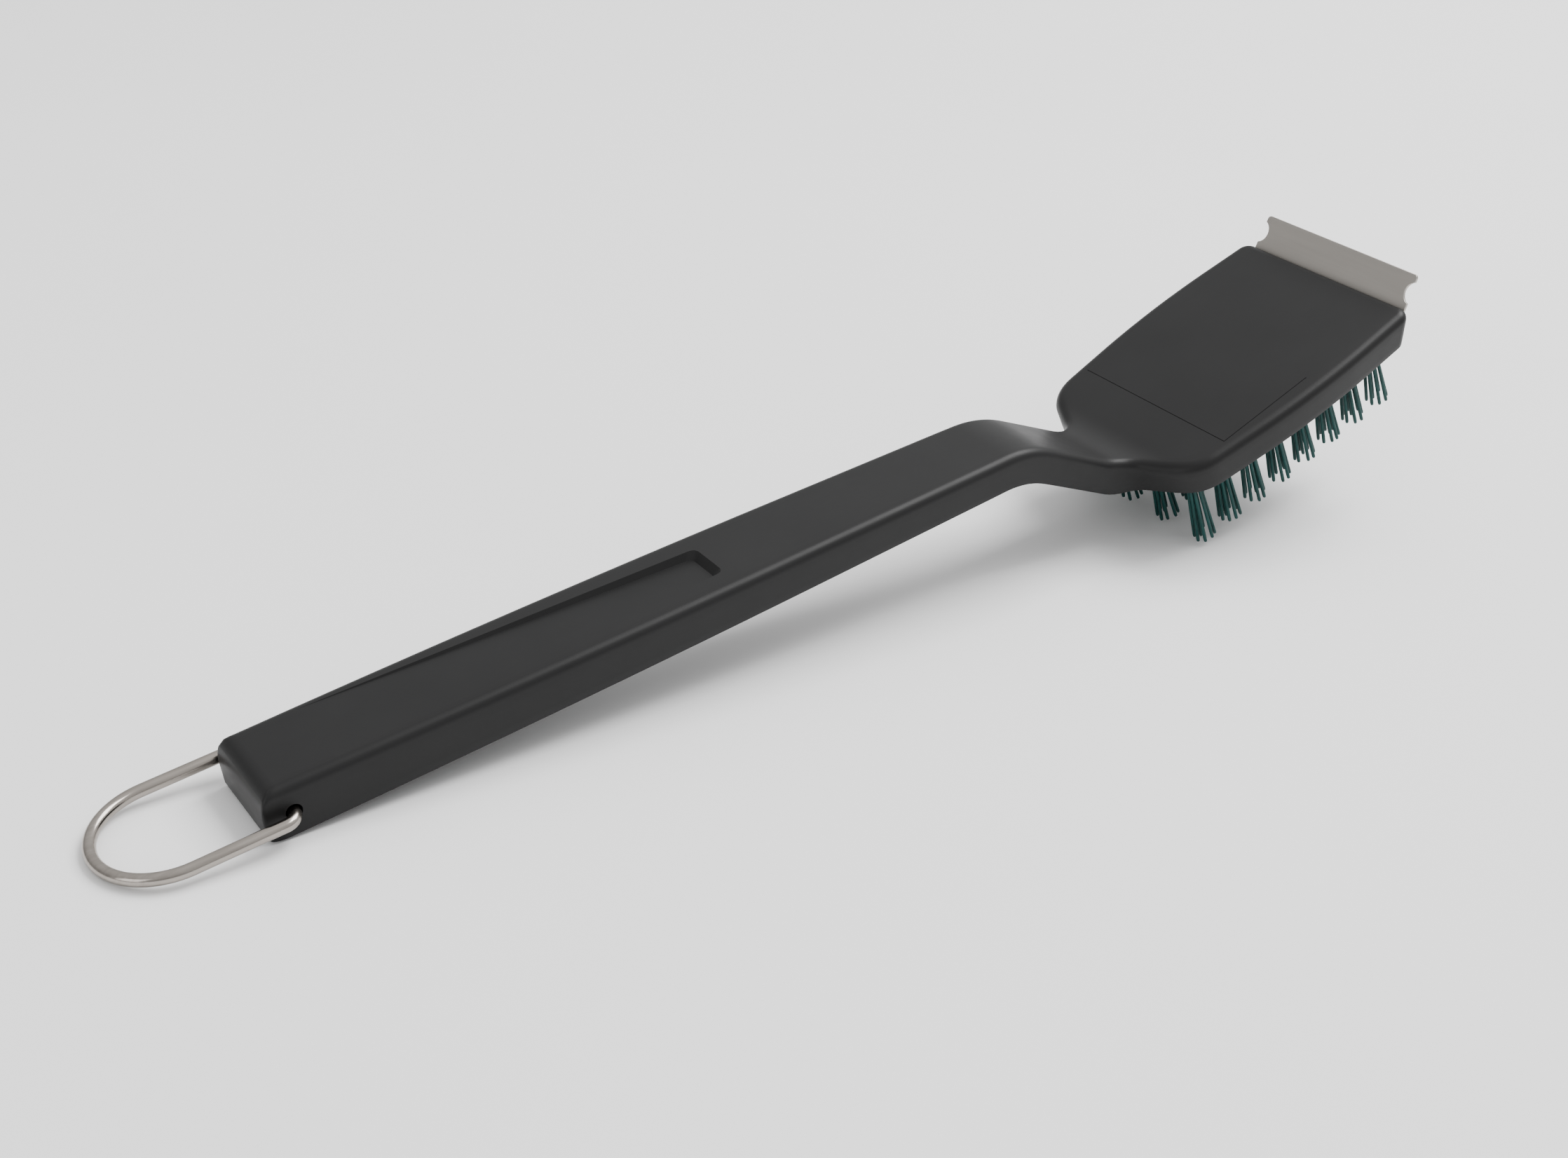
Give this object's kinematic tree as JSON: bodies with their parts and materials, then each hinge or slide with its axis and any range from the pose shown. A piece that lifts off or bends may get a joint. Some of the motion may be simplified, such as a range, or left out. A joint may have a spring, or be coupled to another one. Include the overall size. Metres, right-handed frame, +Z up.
{
  "type": "grill cleaning brush",
  "caption": "Long-handled grill cleaning brush with a cranked moulded body, nylon bristle tufts, a bent steel scraper along the head's front edge and a swinging wire hanging loop.",
  "frame": {"origin": "on the surface the brush lies on, at the centre of its overall box", "axes": "+X from the hanging loop towards the scraper, +Y across the brush, +Z up, with the brush lying on its rear bristle tufts and the rear end of its handle"},
  "size_m": [0.4558, 0.0808, 0.0825],
  "materials": {
    "body_plastic": "fine satin moulded surface",
    "blade_steel": "satin stainless sheet",
    "loop_wire": "bright drawn stainless wire",
    "bristle_nylon": "satin coarse nylon filament"
  },
  "bodies": {
    "brush": {"body": "body_plastic", "scraper_blade": "blade_steel", "tuft_row1_1": "bristle_nylon", "tuft_row1_2": "bristle_nylon", "tuft_row1_3": "bristle_nylon", "tuft_row1_4": "bristle_nylon", "tuft_row2_1": "bristle_nylon", "tuft_row2_2": "bristle_nylon", "tuft_row2_3": "bristle_nylon", "tuft_row2_4": "bristle_nylon", "tuft_row3_1": "bristle_nylon", "tuft_row3_2": "bristle_nylon", "tuft_row3_3": "bristle_nylon", "tuft_row3_4": "bristle_nylon", "tuft_row4_1": "bristle_nylon", "tuft_row4_2": "bristle_nylon", "tuft_row4_3": "bristle_nylon", "tuft_row4_4": "bristle_nylon", "tuft_row5_1": "bristle_nylon", "tuft_row5_2": "bristle_nylon", "tuft_row5_3": "bristle_nylon", "tuft_row5_4": "bristle_nylon", "tuft_row6_1": "bristle_nylon", "tuft_row6_2": "bristle_nylon", "tuft_row6_3": "bristle_nylon", "tuft_row6_4": "bristle_nylon", "tuft_row7_1": "bristle_nylon", "tuft_row7_2": "bristle_nylon", "tuft_row7_3": "bristle_nylon", "tuft_row7_4": "bristle_nylon", "tuft_row8_1": "bristle_nylon", "tuft_row8_2": "bristle_nylon", "tuft_row8_3": "bristle_nylon", "tuft_row8_4": "bristle_nylon"},
    "loop": {"hanging_loop": "loop_wire"}
  },
  "joints": [
    {"name": "loop_swing", "type": "hinge", "parent": "brush", "child": "loop", "pos_m": [-0.17664, 0, 0.00803], "axis": [0, 1, 0], "range_deg": [-165, 160]}
  ]
}
